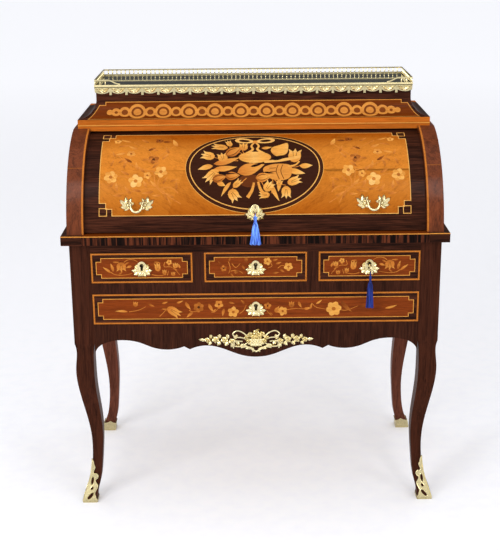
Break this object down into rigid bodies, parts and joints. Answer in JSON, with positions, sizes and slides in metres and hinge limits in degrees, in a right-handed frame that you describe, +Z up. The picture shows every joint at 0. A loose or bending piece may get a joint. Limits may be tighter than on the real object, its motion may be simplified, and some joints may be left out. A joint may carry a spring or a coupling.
{
  "type": "cylinder desk",
  "caption": "Writing desk with a rolling quarter-cylinder fall, pull-out slide, drawers, cabriole legs, marble top and gilt gallery.",
  "frame": {"origin": "on the floor under the middle of the plan", "axes": "+Z up, +X to the right seen from the front, front towards -Y"},
  "size_m": [0.94, 0.5253, 1.0612],
  "materials": {
    "rosewood": "polished rosewood veneer",
    "satinwood": "polished satinwood veneer",
    "marquetry": "polished marquetry veneer",
    "striped_ebony": "polished striped ebony veneer",
    "oak": "planed oak",
    "gilt_brass": "cast and chased gilt brass",
    "bolt_steel": "filed steel",
    "marble": "polished dark green marble",
    "leather": "tooled skiver",
    "pale_silk": "cut silk thread",
    "royal_silk": "cut silk thread"
  },
  "bodies": {
    "desk": {"leg_front_left": "rosewood", "leg_front_right": "rosewood", "leg_rear_left": "rosewood", "leg_rear_right": "rosewood", "front_apron": "rosewood", "side_panel_left": "rosewood", "side_panel_right": "rosewood", "top_rail": "rosewood", "middle_rail": "rosewood", "drawer_partitions": "rosewood", "ledge_ends": "rosewood", "ledge_back": "rosewood", "cheek_left": "rosewood", "cheek_right": "rosewood", "top_board": "rosewood", "cornice": "satinwood", "frieze_cove": "satinwood", "nest_case": "satinwood", "lower_back": "oak", "upper_back": "oak", "dust_board": "oak", "bottom_board": "oak", "slide_bearers": "oak", "front_sabots": "gilt_brass", "rear_sabots": "gilt_brass", "apron_mount": "gilt_brass", "gallery_band": "gilt_brass", "gallery_rail": "gilt_brass", "gallery_balusters": "gilt_brass", "marble_top": "marble"},
    "fall": {"cylinder_fall": "marquetry", "fall_guide_pins": "gilt_brass", "fall_handle_left": "gilt_brass", "fall_handle_right": "gilt_brass", "fall_escutcheon": "gilt_brass", "fall_lock": "gilt_brass"},
    "fall_bolt": {"fall_bolt": "bolt_steel"},
    "fall_key": {"fall_key": "gilt_brass"},
    "fall_tassel": {"fall_tassel": "pale_silk"},
    "slide": {"writing_slide": "striped_ebony", "slide_leather": "leather"},
    "drawer_bolt": {"drawer_bolt": "bolt_steel"},
    "drawer_key": {"drawer_key": "gilt_brass"},
    "drawer_tassel": {"drawer_tassel": "royal_silk"},
    "left_drawer": {"left_drawer_front": "marquetry", "left_drawer_box": "oak", "left_drawer_lock": "gilt_brass"},
    "centre_drawer": {"centre_drawer_front": "marquetry", "centre_drawer_box": "oak", "centre_drawer_lock": "gilt_brass"},
    "right_drawer": {"right_drawer_front": "marquetry", "right_drawer_box": "oak", "right_drawer_lock": "gilt_brass"},
    "long_drawer": {"long_drawer_front": "marquetry", "long_drawer_box": "oak", "long_drawer_lock": "gilt_brass"},
    "nest_drawer_1": {"nest_drawer_1": "satinwood"},
    "nest_drawer_2": {"nest_drawer_2": "satinwood"},
    "nest_drawer_3": {"nest_drawer_3": "satinwood"}
  },
  "joints": [
    {"name": "fall_roll", "type": "hinge", "parent": "desk", "child": "fall", "pos_m": [0, 0.034, 0.695], "axis": [-1, 0, 0], "range_deg": [0, 50]},
    {"name": "fall_key_turn", "type": "hinge", "parent": "fall", "child": "fall_key", "pos_m": [0, -0.23933, 0.78381], "axis": [0, -0.9511, 0.309], "range_deg": [0, 90]},
    {"name": "fall_bolt_throw", "type": "slide", "parent": "fall", "child": "fall_bolt", "axis": [0, -0.309, -0.9511], "range_m": [0, 0.0091]},
    {"name": "fall_tassel_swing", "type": "hinge", "parent": "fall", "child": "fall_tassel", "pos_m": [0, -0.23933, 0.78381], "axis": [1, 0, 0], "range_deg": [0, 15]},
    {"name": "slide_pull", "type": "slide", "parent": "desk", "child": "slide", "axis": [0, -1, 0], "range_m": [0, 0.2], "deforming": ["fall_tassel"]},
    {"name": "drawer_key_turn", "type": "hinge", "parent": "right_drawer", "child": "drawer_key", "pos_m": [0.2775, -0.2444, 0.64149], "axis": [0, -1, 0], "range_deg": [0, 90]},
    {"name": "drawer_bolt_throw", "type": "slide", "parent": "right_drawer", "child": "drawer_bolt", "axis": [0, 0, 1], "range_m": [0, 0.0091]},
    {"name": "drawer_tassel_swing", "type": "hinge", "parent": "right_drawer", "child": "drawer_tassel", "pos_m": [0.2775, -0.2444, 0.64149], "axis": [-1, 0, 0], "range_deg": [0, 20]},
    {"name": "left_drawer_pull", "type": "slide", "parent": "desk", "child": "left_drawer", "axis": [0, -1, 0], "range_m": [0, 0.28]},
    {"name": "centre_drawer_pull", "type": "slide", "parent": "desk", "child": "centre_drawer", "axis": [0, -1, 0], "range_m": [0, 0.28]},
    {"name": "right_drawer_pull", "type": "slide", "parent": "desk", "child": "right_drawer", "axis": [0, -1, 0], "range_m": [0, 0.28]},
    {"name": "long_drawer_pull", "type": "slide", "parent": "desk", "child": "long_drawer", "axis": [0, -1, 0], "range_m": [0, 0.28], "deforming": ["drawer_tassel"]},
    {"name": "nest_drawer_1_pull", "type": "slide", "parent": "desk", "child": "nest_drawer_1", "axis": [0, -1, 0], "range_m": [0, 0.12]},
    {"name": "nest_drawer_2_pull", "type": "slide", "parent": "desk", "child": "nest_drawer_2", "axis": [0, -1, 0], "range_m": [0, 0.12]},
    {"name": "nest_drawer_3_pull", "type": "slide", "parent": "desk", "child": "nest_drawer_3", "axis": [0, -1, 0], "range_m": [0, 0.12]}
  ],
  "couplings": [
    {"joint": "fall_key_turn", "follows": "fall_bolt_throw", "rad_per_m": 172.6},
    {"joint": "drawer_key_turn", "follows": "drawer_bolt_throw", "rad_per_m": 172.6},
    {"joint": "fall_tassel_swing", "follows": "fall_roll", "ratio": 0.3}
  ]
}
